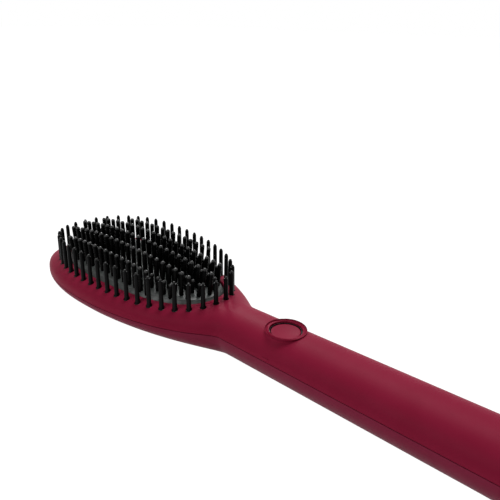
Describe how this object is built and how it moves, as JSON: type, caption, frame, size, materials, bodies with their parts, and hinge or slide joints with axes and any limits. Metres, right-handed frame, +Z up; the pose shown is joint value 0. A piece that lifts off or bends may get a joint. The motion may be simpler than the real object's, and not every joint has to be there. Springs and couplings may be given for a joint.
{
  "type": "heated styling brush",
  "caption": "Paddle-shaped heated hair brush: oval head with a domed heater plate full of pins, a ring of cool bristles, a round power button on the neck and a swivel cord gland.",
  "frame": {"origin": "on the surface that the brush lies on, under the middle of its bounding box", "axes": "+X along the handle towards the cord gland, +Z up, the way the pins stand"},
  "size_m": [0.2892, 0.0674, 0.0368],
  "materials": {
    "plum_soft": "soft-touch coat, even",
    "plum_back": "soft-touch coat, even",
    "plate_grey": "coated aluminium, satin",
    "pin_black": "nylon, satin, glossy tips",
    "bristle_black": "nylon, satin, glossy tips",
    "smoked_ring": "smoked, clear through",
    "frame_ivory": "heat-proof resin",
    "stone_grey": "sintered",
    "strip_metal": "plain",
    "amber_film": "polyimide film",
    "pad_red": "silicone",
    "steel": "zinc plated",
    "sensor_glass": "glazed bead",
    "lead_red": "silicone insulation",
    "lead_white": "silicone insulation",
    "black_resin": "moulded",
    "white_resin": "moulded",
    "lamp_clear": "clear lens",
    "board_green": "solder mask",
    "block_green": "moulded",
    "cap_yellow": "moulded box",
    "cap_can": "sleeved can",
    "gland_black": "satin"
  },
  "bodies": {
    "casing": {"front_casing": "plum_soft", "rear_casing": "plum_back", "heater_plate": "plate_grey", "long_pins": "pin_black", "short_pins": "pin_black", "cool_bristles": "bristle_black", "bristle_retainer": "black_resin", "heater_frame": "frame_ivory", "heating_stones": "stone_grey", "electrode_strips": "strip_metal", "insulation_sleeve": "amber_film", "pressure_pad": "pad_red", "clamp_bridge": "steel", "clamp_screws": "steel", "heat_shield": "strip_metal", "thermistor": "sensor_glass", "thermal_fuse": "steel", "heater_leads": "lead_red", "sensor_leads": "lead_white", "light_ring": "smoked_ring", "tact_switch": "black_resin", "indicator_lights": "lamp_clear", "main_board": "board_green", "board_screws": "steel", "terminal_blocks": "block_green", "control_chip": "black_resin", "film_capacitor": "cap_yellow", "power_triac": "black_resin", "smoothing_capacitor": "cap_can", "case_screws": "steel", "cord_clamp": "black_resin", "cord_clamp_screws": "steel"},
    "button": {"power_button": "plum_soft"},
    "plunger": {"tact_plunger": "white_resin"},
    "gland": {"swivel_gland": "gland_black"}
  },
  "joints": [
    {"name": "button_press", "type": "slide", "parent": "casing", "child": "button", "axis": [0, 0, -1], "range_m": [0, 0.0006], "stiffness_N_per_m": 600},
    {"name": "plunger_press", "type": "slide", "parent": "casing", "child": "plunger", "axis": [0, 0, -1], "range_m": [0, 0.0006]},
    {"name": "gland_swivel", "type": "hinge", "parent": "casing", "child": "gland", "pos_m": [0.13548, 0, 0.012], "axis": [1, 0, 0], "continuous": true}
  ],
  "couplings": [
    {"joint": "plunger_press", "follows": "button_press", "ratio": 1}
  ]
}
